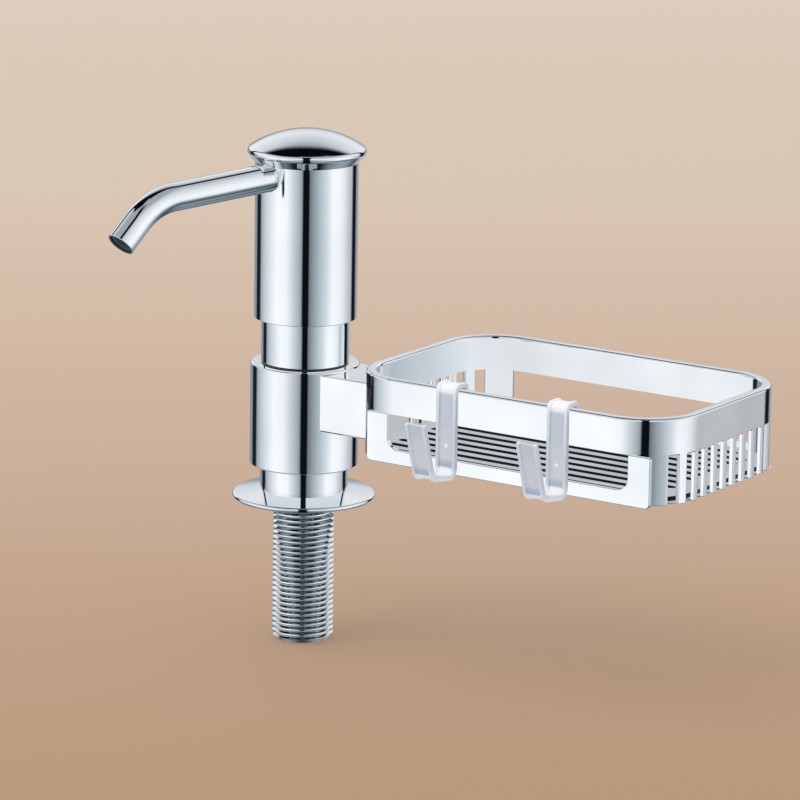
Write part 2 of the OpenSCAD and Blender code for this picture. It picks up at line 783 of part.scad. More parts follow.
// One hook: a tab inside the rim, a bridge over it, a strap down the front, and a
// prong that leans outwards. Its thin web has a raised edge along each side.
module hook(along) {
    top_r = 0.6 + hook_t / 2;
    bend_r = hook_bend + hook_t / 2;
    bridge = band_t + 2 * (hook_gap + hook_t / 2) - 2 * top_r;
    tab_rise = hook_gap + hook_t / 2 - top_r;
    web_cut = 0.4; // the web stops this far behind the ends of the raised edges
    route = [[bridge, -90, top_r],
             [hook_drop + tab_rise - hook_t / 2 - bend_r, 90, bend_r],
             [hook_mouth - 2 * hook_bend + 2, 90 - hook_lean, bend_r]];
    edge_line = hook_line(concat([[hook_tab + tab_rise, -90, top_r]], route), hook_prong, 0, 0, 90);
    web_line = hook_line(concat([[hook_tab + tab_rise - web_cut, -90, top_r]], route),
                         hook_prong - web_cut, 0, web_cut, 90);
    inside = basket_front - band_t - hook_gap - hook_t / 2;
    translate([basket_reach + along, -inside, z_basket_top - hook_tab])
        mirror([0, 1, 0]) rotate([90, 0, 90]) union() {
            for (z = [-hook_w / 2, hook_w / 2 - hook_rib])
                translate([0, 0, z]) linear_extrude(hook_rib) hook_profile(edge_line, hook_t);
            translate([0, 0, (hook_rib - hook_w) / 2])
                linear_extrude(hook_w - hook_rib) hook_profile(web_line, hook_web);
        }
}

module hook_left() {
    color("aliceblue") hook(hook_left_x);
}

module hook_right() {
    color("aliceblue") hook(hook_right_x);
}

threaded_shank();
flange();
deck_seal();
lower_body();
upper_body();
guide_ring();
pump_collar();
stem_seal();
pump_housing();
housing_gasket();
ball_retainer();
inlet_ball();
pump_stem();
piston();
outlet_ball();
return_spring();
head_core();
head_sleeve();
cap();
cap_seal();
spout();
spout_liner();
caddy_ring();
bush_lower();
bush_upper();
basket();
front_panel();
floor_grille();
hook_left();
hook_right();
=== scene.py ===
import math
import bmesh
import bpy
from mathutils import Matrix, Vector


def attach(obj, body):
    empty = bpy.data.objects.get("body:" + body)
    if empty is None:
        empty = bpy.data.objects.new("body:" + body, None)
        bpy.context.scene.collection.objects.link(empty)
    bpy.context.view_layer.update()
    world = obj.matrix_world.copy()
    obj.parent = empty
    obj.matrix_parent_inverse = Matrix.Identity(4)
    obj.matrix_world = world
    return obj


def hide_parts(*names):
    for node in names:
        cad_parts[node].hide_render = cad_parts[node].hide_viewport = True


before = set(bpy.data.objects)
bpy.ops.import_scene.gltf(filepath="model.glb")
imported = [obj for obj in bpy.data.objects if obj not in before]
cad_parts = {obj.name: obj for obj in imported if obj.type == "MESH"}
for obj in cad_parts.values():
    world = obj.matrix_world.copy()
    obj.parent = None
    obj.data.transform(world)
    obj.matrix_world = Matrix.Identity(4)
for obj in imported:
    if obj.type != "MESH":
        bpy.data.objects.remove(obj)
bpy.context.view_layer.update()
MM = 0.001

# Camera and studio
# The camera stands 1.7 m away with a long lens and looks down a little. It is a third
# of a right angle round to the right, so that the caddy comes forward on the right.
VIEW_TURN = math.radians(33.72)
PITCH, ROLL = math.radians(13.43), math.radians(0.86)
camera_data = bpy.data.cameras.new("camera")
camera_data.sensor_width = 36
camera_data.lens = 225
camera_data.clip_end = 50
camera = bpy.data.objects.new("camera", camera_data)
bpy.context.scene.collection.objects.link(camera)
bpy.context.scene.camera = camera
ahead = Vector((0, math.cos(PITCH), -math.sin(PITCH)))
side, above = Vector((1, 0, 0)), Vector((0, math.sin(PITCH), math.cos(PITCH)))
right = math.cos(ROLL) * side + math.sin(ROLL) * above
up = -math.sin(ROLL) * side + math.cos(ROLL) * above
placed = Matrix((right, up, -ahead)).transposed().to_4x4()
placed.translation = Vector((32.29, -1646.37, 427.05)) * MM
camera.matrix_world = Matrix.Rotation(VIEW_TURN, 4, "Z") @ placed
bpy.context.scene.view_settings.view_transform = "Standard"


def linear(code):
    """The linear colour of an sRGB hex value."""
    parts = [int(code[i:i + 2], 16) / 255 for i in (1, 3, 5)]
    return [c / 12.92 if c <= 0.04045 else ((c + 0.055) / 1.055) ** 2.4 for c in parts] + [1]


def add(tree, kind, settings=None, **links):
    """Adds a node. A link names an input, or its number after an i, and gives a value or an output."""
    made = tree.nodes.new(kind)
    for key, value in (settings or {}).items():
        setattr(made, key, value)
    for key, value in links.items():
        numbered = key[0] == "i" and key[1:].isdigit()
        socket = made.inputs[int(key[1:]) if numbered else key.replace("_", " ")]
        if isinstance(value, bpy.types.NodeSocket):
            tree.links.new(value, socket)
        else:
            socket.default_value = value
    return made


def maths(tree, kind, *values):
    """The result of a Math node."""
    inputs = {f"i{k}": value for k, value in enumerate(values)}
    return add(tree, "ShaderNodeMath", {"operation": kind}, **inputs).outputs[0]


def spread(tree, value, start, end, low=0.0, high=1.0):
    """Maps value evenly from start and end to low and high, and holds it between them."""
    return add(tree, "ShaderNodeMapRange", Value=value, From_Min=start, From_Max=end,
               To_Min=low, To_Max=high).outputs[0]


def fade(tree, value, start, end):
    """Goes softly from 0 where value is start to 1 where it is end."""
    return add(tree, "ShaderNodeMapRange", {"interpolation_type": "SMOOTHSTEP"}, Value=value,
               From_Min=start, From_Max=end).outputs[0]


def mix_colours(tree, share, first, second):
    """Mixes two colours, each an output or a hex value."""
    first, second = [linear(c) if isinstance(c, str) else c for c in (first, second)]
    return add(tree, "ShaderNodeMix", {"data_type": "RGBA"}, i0=share, i6=first, i7=second).outputs[2]


def mix_values(tree, share, first, second):
    return add(tree, "ShaderNodeMix", {"data_type": "FLOAT"}, i0=share, i2=first, i3=second).outputs[0]


def ramp(tree, value, stops):
    """A colour ramp over value, from (place, hex) stops."""
    made = add(tree, "ShaderNodeValToRGB", Fac=value)
    bands = made.color_ramp.elements
    bands.remove(bands[1])
    bands[0].position, bands[0].color = stops[0][0], linear(stops[0][1])
    for place, code in stops[1:]:
        bands.new(place).color = linear(code)
    return made.outputs["Color"]


def turned_by(tree, vector, angle):
    """A vector turned round the upright axis."""
    return add(tree, "ShaderNodeMapping", {"vector_type": "POINT"}, Vector=vector,
               Rotation=(0, 0, angle)).outputs[0]


# The studio is a ring of pale screens with dark gaps between them. Polished metal
# shows the screens and the gaps; the camera sees only a plain warm backdrop.
world = bpy.data.worlds.new("studio")
bpy.context.scene.world = world
world.use_nodes = True
sky = world.node_tree
sky.nodes.clear()
way = add(sky, "ShaderNodeTexCoord").outputs["Generated"]
height = add(sky, "ShaderNodeSeparateXYZ", Vector=way).outputs["Z"]
# The ring of screens is stood so that its gaps fall where the tubes show them
SCREENS_TURN = math.radians(55.4)
azimuth = add(sky, "ShaderNodeTexGradient", {"gradient_type": "RADIAL"},
              Vector=turned_by(sky, way, SCREENS_TURN)).outputs[1]
screens = ramp(sky, azimuth, [(0.5 + degrees / 360, code) for degrees, code in (
    (-180, "#8D949A"), (-145, "#868D93"), (-140, "#1A2127"), (-124, "#171D22"), (-119, "#9BA2A9"),
    (-105, "#C0C8CE"), (-85, "#E0E5EA"), (-68, "#F8FAFB"), (-45, "#F0F3F5"), (-30, "#CCD2D7"),
    (-12, "#9DA4AA"), (-8, "#6B7176"), (-6, "#0B0E13"), (5, "#0B0E13"), (8, "#6F767D"),
    (14, "#858D94"), (32, "#B2BBC3"), (47, "#D0D7DD"), (62, "#F4F6F8"), (80, "#EFF2F5"),
    (92, "#E2E6EA"), (107, "#C6C8CA"), (120, "#B2B4B6"), (126, "#11171C"), (140, "#11171C"),
    (146, "#83898F"), (165, "#A9ACAE"), (180, "#8D949A"))])
overhead = ramp(sky, maths(sky, "ARCSINE", height), [
    (0.0, "#FFFFFF"), (0.17, "#E9ECEE"), (0.37, "#E3E5E8"), (0.56, "#D8DBDF"), (0.72, "#CBCFD4"),
    (0.84, "#BCC2C7"), (0.96, "#A3ABB1"), (1.0, "#9AA2A9")])
# In the view, X goes to the right and Y away from the camera
in_view = add(sky, "ShaderNodeSeparateXYZ", Vector=turned_by(sky, way, -VIEW_TURN)).outputs
# Between the two screens overhead a dark gap runs from side to side. It bows towards
# the camera in the middle and is much wider over a stretch on the left.
sideways = maths(sky, "ABSOLUTE", in_view["X"])
away = maths(sky, "MULTIPLY_ADD", maths(sky, "MULTIPLY", sideways, sideways), -0.55, in_view["Y"])
wide_stretch = maths(sky, "MULTIPLY", fade(sky, in_view["X"], -0.08, -0.16),
                     fade(sky, in_view["X"], -0.56, -0.46))
near_edge = mix_values(sky, wide_stretch, spread(sky, sideways, 0.0, 0.24, 0.04, 0.27), -0.12)
past_near = maths(sky, "SUBTRACT", away, near_edge)
gap = maths(sky, "MULTIPLY", fade(sky, past_near, -0.05, 0.04), fade(sky, away, 0.565, 0.42))
# The far end of the screen behind the gap is duller
dulled = mix_colours(sky, fade(sky, in_view["Y"], 0.90, 0.98), overhead, "#CFD2D6")
overhead_dark = mix_colours(sky, gap, dulled, "#06070A")
walls = mix_colours(sky, fade(sky, height, 0.05, 0.22), screens, overhead_dark)
# Below the screens lies the table: pale far off, then a darker belt, then grey, and
# almost black straight below
table = ramp(sky, spread(sky, height, -1.0, 0.0), [
    (0.0, "#14181C"), (0.03, "#161B1F"), (0.08, "#6C7880"), (0.18, "#8D9AA2"), (0.3, "#7C8A92"),
    (0.4, "#4A535A"), (0.46, "#5C656C"), (0.56, "#A4ABB1"), (0.7, "#B9C0C5")])
all_round = mix_colours(sky, fade(sky, height, -0.30, -0.42), walls, table)
# A dark gap as wide as the one between the screens comes down past the camera and on
# over the table
stem = maths(sky, "MULTIPLY", fade(sky, sideways, 0.135, 0.095), fade(sky, in_view["Y"], -0.18, -0.32))
room = mix_colours(sky, stem, all_round, "#0B0E13")
# Only mirrored rays meet the room. Other rays meet plain soft light
ray = add(sky, "ShaderNodeLightPath").outputs
lit = mix_colours(sky, ray["Is Glossy Ray"], "#E4E6E9", room)
seen = mix_colours(sky, ray["Is Camera Ray"], lit, "#E4D1C2")
strength = spread(sky, ray["Is Glossy Ray"], 0.0, 1.0, 1.15, 1.18)
strength_seen = mix_values(sky, ray["Is Camera Ray"], strength, 1.0)
light = add(sky, "ShaderNodeBackground", Color=seen, Strength=strength_seen)
add(sky, "ShaderNodeOutputWorld", Surface=light.outputs[0])

# One large soft lamp overhead gives the floor its shadow.
lamp_data = bpy.data.lights.new("softbox", "AREA")
lamp_data.shape, lamp_data.size, lamp_data.energy = "DISK", 1.6, 13
lamp = bpy.data.objects.new("softbox", lamp_data)
bpy.context.scene.collection.objects.link(lamp)
lamp.location = (-0.35, -0.75, 1.5)
lamp.rotation_euler = Vector((0.35, 0.75, -1.45)).to_track_quat("-Z", "Y").to_euler()
lamp.visible_glossy = False

# Pale cards stand in the basket, out of the camera's sight, so that its inner walls
# mirror them and not the dark gap behind the camera. Each is pale on one side only, and
# only to rays that fall about as steeply as the camera's own, so that from elsewhere
# they hardly show.
CAMERA_SLOPE = 0.23
for name, wide, tall, place, card_turn, right_end, left_end in (
        ("back_card", 117, 32, (91.5, 50, 34), 180, "#F1F3F5", "#E2E4E6"),
        ("end_card", 24, 22, (44, 43, 38), -33.7, "#DEE3E7", "#ADB9C1"),
        ("corner_card", 9, 30, (42, 52, 34), -62, "#E1E5E8", "#E1E5E8")):
    card_paper = bpy.data.materials.new(name)
    card_paper.use_nodes = True
    tree = card_paper.node_tree
    tree.nodes.clear()
    # The card's own X goes from -0.5 at one end to 0.5 at the other
    on_card = add(tree, "ShaderNodeTexCoord").outputs["Object"]
    across_card = add(tree, "ShaderNodeSeparateXYZ", Vector=on_card).outputs["X"]
    shade = ramp(tree, maths(tree, "ADD", across_card, 0.5), [(0, right_end), (1, left_end)])
    pale_side = add(tree, "ShaderNodeEmission", Color=shade, Strength=1.18)
    met = add(tree, "ShaderNodeNewGeometry").outputs
    slope = add(tree, "ShaderNodeSeparateXYZ", Vector=met["Incoming"]).outputs["Z"]
    off_slope = maths(tree, "ABSOLUTE", maths(tree, "SUBTRACT", slope, CAMERA_SLOPE))
    unseen = maths(tree, "MAXIMUM", met["Backfacing"], fade(tree, off_slope, 0.14, 0.2))
    shown = add(tree, "ShaderNodeMixShader", i0=unseen, i1=pale_side.outputs[0],
                i2=add(tree, "ShaderNodeBsdfTransparent").outputs[0])
    add(tree, "ShaderNodeOutputMaterial", Surface=shown.outputs[0])
    bpy.ops.mesh.primitive_plane_add(size=1, rotation=(math.pi / 2, 0, math.radians(card_turn)))
    card = bpy.context.object
    card.name = name
    card.scale = (wide * MM, tall * MM, 1)
    card.location = [v * MM for v in place]
    card.data.materials.append(card_paper)
    card.visible_camera = card.visible_diffuse = card.visible_shadow = card.visible_transmission = False

# The floor is a warm sheet. Its paling into the distance is a painted light falloff, and more than half
# of its brightness is a painted glow; the rest is diffuse and keeps the object's shadow.
FLOOR_Z = -0.0502
bpy.ops.mesh.primitive_plane_add(size=16, location=(0, 0, FLOOR_Z))
floor = bpy.context.object
floor.name = "floor"
floor.visible_glossy = floor.visible_diffuse = False
paper = bpy.data.materials.new("warm_floor_painted_falloff")
paper.use_nodes = True
tree = paper.node_tree
tree.nodes.clear()
spot = add(tree, "ShaderNodeTexCoord").outputs["Object"]
distance = add(tree, "ShaderNodeSeparateXYZ", Vector=turned_by(tree, spot, -VIEW_TURN)).outputs["Y"]
# Painted light falloff: darker near the camera, paler far off
shade = ramp(tree, spread(tree, distance, -0.2, 1.45), [
    (0.0, "#B8987B"), (0.15, "#C3A48B"), (0.33, "#D0B5A0"), (0.59, "#DDC9B5"), (1.0, "#E6D3C2")])
# Painted glow
glow = add(tree, "ShaderNodeEmission", Color=shade, Strength=0.88)
matt = add(tree, "ShaderNodeBsdfDiffuse", Color=shade)
mixed = add(tree, "ShaderNodeMixShader", i0=0.4, i1=glow.outputs[0], i2=matt.outputs[0])
add(tree, "ShaderNodeOutputMaterial", Surface=mixed.outputs[0])
floor.data.materials.append(paper)


# Finishes
# Every finish starts from one shader and the place on the piece, with noise for its
# fine detail.
def new_finish(name):
    """A new material, its node tree, its shader and the place on the piece."""
    finish = bpy.data.materials.new(name)
    finish.use_nodes = True
    tree = finish.node_tree
    return finish, tree, tree.nodes["Principled BSDF"], add(tree, "ShaderNodeTexCoord").outputs["Object"]


def noise(tree, place, scale, detail):
    return add(tree, "ShaderNodeTexNoise", Vector=place, Scale=scale, Detail=detail).outputs[0]


def give(tree, shader, **inputs):
    """Links outputs to a shader's inputs."""
    for key, value in inputs.items():
        tree.links.new(value, shader.inputs[key.replace("_", " ")])


def bumps(tree, form, strength, distance):
    return add(tree, "ShaderNodeBump", Strength=strength, Distance=distance, Height=form).outputs[0]


# Bright chrome plate on polished brass or zinc: almost a mirror, with the faint waver
# of a hand-polished face and a very fine haze of wiping marks.
def polished_chrome(name, dark, roughness, waver, pale="#F1F3F5"):
    finish, tree, shader, place = new_finish(name)
    # Polishing leaves waves about 20 mm long, and wiping leaves streaks under 1 mm
    waves = noise(tree, place, 50, 1)
    drawn_out = add(tree, "ShaderNodeMapping", Vector=place, Scale=(1, 1, 0.15)).outputs[0]
    streaks = noise(tree, drawn_out, 1400, 2)
    give(tree, shader, Normal=bumps(tree, waves, waver, 0.0004),
         Roughness=spread(tree, streaks, 0.3, 0.7, roughness * 0.7, roughness * 1.4),
         Base_Color=ramp(tree, waves, [(0.3, dark), (0.7, pale)]))
    shader.inputs["Metallic"].default_value = 1
    return finish


chrome_tube = polished_chrome("chrome_on_turned_brass", "#E9ECEF", 0.035, 0.02)
chrome_spout = polished_chrome("chrome_on_drawn_brass", "#E9ECEF", 0.035, 0.02)
chrome_cast = polished_chrome("chrome_on_cast_zinc", "#E6E9EC", 0.05, 0.05)
chrome_thread = polished_chrome("chrome_on_cut_thread", "#D9DCDF", 0.12, 0.03)
steel = polished_chrome("ground_steel", "#B9BCC0", 0.18, 0.02)


# Moulded plastics: a slight grain from the tool, and colour that varies a little
# at random over the piece.
def moulded(name, dark, pale, roughness, ior):
    finish, tree, shader, place = new_finish(name)
    grain = noise(tree, place, 3000, 2)
    give(tree, shader, Normal=bumps(tree, grain, 0.15, 0.00005),
         Roughness=spread(tree, grain, 0.0, 1.0, roughness - 0.06, roughness + 0.06),
         Base_Color=ramp(tree, noise(tree, place, 120, 2), [(0.3, dark), (0.7, pale)]))
    shader.inputs["IOR"].default_value = ior
    return finish


nylon = moulded("moulded_nylon", "#D8D3C6", "#E6E2D8", 0.45, 1.53)
polypropylene = moulded("moulded_polypropylene", "#D3D6D8", "#E5E8EA", 0.4, 1.49)
polyethylene = moulded("soft_polyethylene", "#7D8894", "#919CA8", 0.5, 1.51)
liner_plastic = moulded("grey_liner_tube", "#4E5B67", "#5D6B78", 0.5, 1.5)
acetal = moulded("black_acetal", "#1B1D20", "#2A2C30", 0.35, 1.48)
rubber = moulded("moulded_rubber", "#161618", "#242427", 0.7, 1.52)

# The floor grille's flat faces are polished. The walls of its slots are painted near black:
# painted shade between the bars.
chrome_grille = polished_chrome("chrome_on_slotted_zinc", "#C0C4C8", 0.08, 0.05, "#D4D7DA")
tree = chrome_grille.node_tree
shader = tree.nodes["Principled BSDF"]
facing = add(tree, "ShaderNodeNewGeometry").outputs["Normal"]
faces_up = add(tree, "ShaderNodeSeparateXYZ", Vector=facing).outputs["Z"]
# Upright faces, the walls of the slots, take the painted shade; faces that point up or down keep the chrome
clear_of_painted_shade = spread(tree, maths(tree, "ABSOLUTE", faces_up), 0.3, 0.6)
plate_colour = shader.inputs["Base Color"].links[0].from_socket
give(tree, shader, Base_Color=mix_colours(tree, clear_of_painted_shade, "#1A1D20", plate_colour))

# The pieces inside are shown as the CAD nodes themselves
for names, finish in (
        (("deck_seal", "stem_seal", "housing_gasket", "cap_seal"), rubber),
        (("guide_ring", "head_core"), nylon),
        (("bush_lower", "bush_upper"), acetal),
        (("pump_collar", "pump_housing", "ball_retainer", "pump_stem"), polypropylene),
        (("piston",), polyethylene),
        (("inlet_ball", "outlet_ball", "return_spring"), steel),
        (("floor_grille",), chrome_grille)):
    for name in names:
        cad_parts[name].data.materials.clear()
        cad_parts[name].data.materials.append(finish)


# Turned pieces
# The shank, the flange, the body's tubes, the ring, the sleeve and the cap are all
# turned round one axis: their half outline is drawn point by point and spun.
def arc(cx, cz, radius, start, end, steps=6):
    """Points of an arc round (cx, cz), from angle start to end in degrees."""
    angles = [math.radians(start + (end - start) * k / steps) for k in range(steps + 1)]
    return [(cx + radius * math.cos(a), cz + radius * math.sin(a)) for a in angles]


def draw(name, points, closed):
    """Draws a chain of edges through the points (in mm), extruded from one vertex to
    the next, and stays in edit mode."""
    bpy.ops.mesh.primitive_plane_add(size=0.01)
    piece = bpy.context.object
    piece.name = piece.data.name = name
    bpy.ops.object.mode_set(mode="EDIT")
    bpy.ops.mesh.select_mode(type="VERT")
    bpy.ops.mesh.select_all(action="SELECT")
    bpy.ops.mesh.merge(type="CENTER")
    places = [Vector(p) * MM for p in points]
    bpy.ops.transform.translate(value=places[0])
    if closed:
        places.append(places[0])
    for a, b in zip(places, places[1:]):
        bpy.ops.mesh.extrude_region_move(TRANSFORM_OT_translate={"value": b - a})
    bpy.ops.mesh.select_all(action="SELECT")
    bpy.ops.mesh.remove_doubles(threshold=1e-6)
    return piece


def pull(x, y, z):
    """Extrudes what is selected by a distance in mm."""
    bpy.ops.mesh.extrude_region_move(TRANSFORM_OT_translate={"value": (x * MM, y * MM, z * MM)})


def close_up(smooth=30):
    """Ends an edit: joins doubled points, turns the faces outwards and shades them
    smooth up to an angle."""
    bpy.ops.mesh.select_all(action="SELECT")
    bpy.ops.mesh.remove_doubles(threshold=1e-6)
    bpy.ops.mesh.normals_make_consistent(inside=False)
    bpy.ops.object.mode_set(mode="OBJECT")
    bpy.ops.object.shade_smooth_by_angle(angle=math.radians(smooth))


def turn(name, outline, steps=128, closed=True):
    """Spins a half outline of (radius, z) points, in mm, round the axis."""
    piece = draw(name, [(r, 0, z) for r, z in outline], closed)
    bpy.ops.mesh.spin(steps=steps, angle=math.tau, center=(0, 0, 0), axis=(0, 0, 1))
    close_up()
    return piece


def shape(piece, kind, **settings):
    """Adds a modifier to a piece and applies it."""
    bpy.context.view_layer.objects.active = piece
    made = piece.modifiers.new(kind.lower(), kind)
    for key, value in settings.items():
        setattr(made, key, value)
    bpy.ops.object.modifier_apply(modifier=made.name)


def cut(piece, tool, kind):
    """Cuts a piece with a closed tool mesh, and deletes the tool."""
    shape(piece, "BOOLEAN", operation=kind, object=tool, solver="EXACT")
    bpy.data.objects.remove(tool)
    bpy.ops.object.select_all(action="DESELECT")
    piece.select_set(True)
    bpy.ops.object.shade_smooth_by_angle(angle=math.radians(30))


def dress(piece, finish, body, node):
    """Gives a finished piece its material, its body and the CAD node that it stands for."""
    # Large faces keep their own direction up to their rounded edges
    shape(piece, "WEIGHTED_NORMAL", keep_sharp=True)
    piece.data.materials.clear()
    piece.data.materials.append(finish)
    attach(piece, body)
    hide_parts(node)


# Threaded shank: a G 1/2 pipe thread is cut over its whole length under the flange,
# its end is bevelled, and a plain core tube goes on up inside the body.
SHANK_R, CORE_R, BORE_R, SHANK_END, SHANK_BEVEL, CORE_TOP = 10.4775, 10.1775, 8.9, -49.5, 1.5, 78
THREAD_PITCH, THREAD_DEPTH, THREAD_TURNS = 1.814, 1.05, 27
shank = turn("threaded_shank_cut", [
    (BORE_R, SHANK_END), (SHANK_R - SHANK_BEVEL, SHANK_END), (SHANK_R, SHANK_END + SHANK_BEVEL), (SHANK_R, 0),
    (CORE_R, 0), (CORE_R, CORE_TOP), (BORE_R, CORE_TOP)], steps=96)
groove = draw("groove", [
    (SHANK_R + 0.3, 0, -0.80), (SHANK_R - 0.12, 0, -0.66), (SHANK_R - THREAD_DEPTH + 0.1, 0, -0.16),
    (SHANK_R - THREAD_DEPTH, 0, 0), (SHANK_R - THREAD_DEPTH + 0.1, 0, 0.16), (SHANK_R - 0.12, 0, 0.66),
    (SHANK_R + 0.3, 0, 0.80)], True)
bpy.ops.transform.translate(value=(0, 0, (SHANK_END - 1.2) * MM))
bpy.ops.object.mode_set(mode="OBJECT")
shape(groove, "SCREW", steps=48, render_steps=48, iterations=THREAD_TURNS, screw_offset=THREAD_PITCH * MM,
      use_merge_vertices=True, use_normal_calculate=True)
bpy.ops.object.mode_set(mode="EDIT")
bpy.ops.mesh.select_mode(type="EDGE")
bpy.ops.mesh.select_all(action="DESELECT")
bpy.ops.mesh.select_non_manifold(extend=False)
bpy.ops.mesh.fill()
close_up()
cut(shank, groove, "DIFFERENCE")
dress(shank, chrome_thread, "base", "threaded_shank")

# Flange: a turned disc with a rounded edge and a sloping top, grooved underneath for
# its rubber seal.
TUBE_R, TUBE_BORE = 14.9, 10.23
flange = turn("flange_turned", [
    (TUBE_BORE, 0), (17.75, 0), (17.75, 1.1), (21.65, 1.1), (21.65, 0)] + arc(23.55, 0.85, 0.85, -90, 90, 12)
    + [(TUBE_R, 3.0), (TUBE_BORE, 3.0)])
dress(flange, chrome_tube, "base", "flange")

# Lower and upper body: plain polished tubes, hardly broken at their edges.
lower_body = turn("lower_body_tube", [
    (TUBE_BORE, 3.0), (TUBE_R, 3.0)] + arc(TUBE_R - 0.15, 11.25, 0.15, 0, 90, 3) + [(TUBE_BORE, 11.4)])
dress(lower_body, chrome_tube, "base", "lower_body")
upper_body = turn("upper_body_tube", [(TUBE_BORE, 47.4)] + arc(TUBE_R - 0.15, 47.55, 0.15, -90, 0, 3) + [
    (TUBE_R, 78), (14.1, 78), (14.1, 82), (TUBE_R, 82), (TUBE_R, 86), (12.2, 86), (12.2, 57.4),
    (TUBE_BORE, 57.4)])
dress(upper_body, chrome_tube, "base", "upper_body")

# Head sleeve: the wide tube that slides over the body. A hole near its top takes the
# spout, and opens upwards under the cap.
SLEEVE_R, SLEEVE_BORE, SLEEVE_TOP = 17.4, 15.2, 115.8
sleeve = turn("head_sleeve_tube", arc(15.4, 62.7, 0.2, 180, 270, 3) + arc(17.15, 62.75, 0.25, -90, 0, 3)
              + [(SLEEVE_R, SLEEVE_TOP), (SLEEVE_BORE, SLEEVE_TOP)])
# The spout is drawn with z along it and x down from it, and then moved to its place
SPOUT_TURN, SPOUT_DROP, SPOUT_Z = math.radians(256.4), math.radians(2.2), 112.7
SPOUT_PLACE = (Matrix.Translation((0, 0, SPOUT_Z * MM)) @ Matrix.Rotation(SPOUT_TURN, 4, "Z")
               @ Matrix.Rotation(math.pi / 2 + SPOUT_DROP, 4, "Y"))
SPOUT_START, DRILL_R = 9, 4.85


def spout_drill():
    """The round tool that drills the spout's hole."""
    drill = turn("drill", [(0, SPOUT_START), (DRILL_R, SPOUT_START), (DRILL_R, 40), (0, 40)], steps=64)
    drill.data.transform(SPOUT_PLACE)
    return drill


cut(sleeve, spout_drill(), "DIFFERENCE")
dress(sleeve, chrome_tube, "head", "head_sleeve")

# Cap: a solid turned lid. Its domed top runs over into a full round rim, and a cone
# goes from the rim in to the sleeve.
DOME_R, DOME_Z, RIM_R, RIM_AT = 34.93, 91.61, 1.6, (18.4, 119.4)
dome_edge = math.degrees(math.atan2(RIM_AT[1] - DOME_Z, RIM_AT[0]))
cap = turn("cap_domed", [
    (0, 120.1), (8.1, 120.1), (11.2, 117.0), (8.45, 117.0), (8.45, SLEEVE_TOP), (13.2, SLEEVE_TOP),
    (13.2, 113.2), (15.15, 113.2), (15.15, SLEEVE_TOP), (SLEEVE_R, SLEEVE_TOP)]
    + arc(*RIM_AT, RIM_R, -40.9, dome_edge, 18) + arc(0, DOME_Z, DOME_R, dome_edge, 90, 28)[1:], closed=False)
cut(cap, spout_drill(), "DIFFERENCE")
dress(cap, chrome_tube, "head", "cap")

# Spout
# A drawn brass tube, bent once near its end, with a thin square-cut mouth. A plastic
# liner sits a little behind the mouth.
BEND_AT, BEND_R, BEND_TURN, SPOUT_LEG, LINER_LEG = 58.2, 24, math.radians(41.2), 9.5, 8.6
bend = Matrix.Rotation(BEND_TURN, 3, "Y")


def bent_tube(name, radius, wall, leg, edge):
    """Extrudes a circle along the spout, spins it round the bend and extrudes the last leg."""
    bpy.ops.mesh.primitive_circle_add(vertices=64, radius=radius * MM, location=(0, 0, SPOUT_START * MM))
    pipe = bpy.context.object
    pipe.name = pipe.data.name = name
    bpy.ops.object.transform_apply(location=True)
    bpy.ops.object.mode_set(mode="EDIT")
    bpy.ops.mesh.select_mode(type="VERT")
    bpy.ops.mesh.select_all(action="SELECT")
    pull(0, 0, BEND_AT - SPOUT_START)
    bpy.ops.mesh.spin(steps=28, angle=BEND_TURN, center=(BEND_R * MM, 0, BEND_AT * MM), axis=(0, -1, 0))
    pull(*(bend @ Vector((0, 0, leg))))
    bpy.ops.mesh.select_all(action="SELECT")
    bpy.ops.mesh.remove_doubles(threshold=1e-6)
    bpy.ops.mesh.normals_make_consistent(inside=False)
    bpy.ops.object.mode_set(mode="OBJECT")
    shape(pipe, "SOLIDIFY", thickness=wall * MM, offset=-1)
    shape(pipe, "BEVEL", width=edge * MM, segments=3, limit_method="ANGLE", angle_limit=math.radians(50))
    bpy.ops.object.shade_smooth_by_angle(angle=math.radians(50))
    pipe.data.transform(SPOUT_PLACE)
    return pipe


spout = bent_tube("spout_tube", 4.8, 0.8, SPOUT_LEG, 0.18)
# Within 4.5 mm of the mouth's middle, which only the inside of the tube reaches, the tube is
# painted dark and dull, and hardly metallic.
mouth = SPOUT_PLACE @ ((Vector((BEND_R, 0, BEND_AT)) + bend @ Vector((-BEND_R, 0, SPOUT_LEG))) * MM)
tree = chrome_spout.node_tree
shader = tree.nodes["Principled BSDF"]
from_mouth = add(tree, "ShaderNodeVectorMath", {"operation": "DISTANCE"},
                 i0=add(tree, "ShaderNodeTexCoord").outputs["Object"], i1=mouth).outputs["Value"]
# Near the mouth the colour is painted dark
away_from_mouth = spread(tree, from_mouth, 0.0044, 0.0046)
plate_colour = shader.inputs["Base Color"].links[0].from_socket
plate_roughness = shader.inputs["Roughness"].links[0].from_socket
give(tree, shader, Base_Color=mix_colours(tree, away_from_mouth, "#39444F", plate_colour),
     Roughness=mix_values(tree, away_from_mouth, 0.5, plate_roughness), Metallic=mix_values(tree, away_from_mouth, 0.2, 1.0))
dress(spout, chrome_spout, "head", "spout")
liner = bent_tube("spout_liner_tube", 3.95, 0.7, LINER_LEG, 0.15)
dress(liner, liner_plastic, "head", "spout_liner")


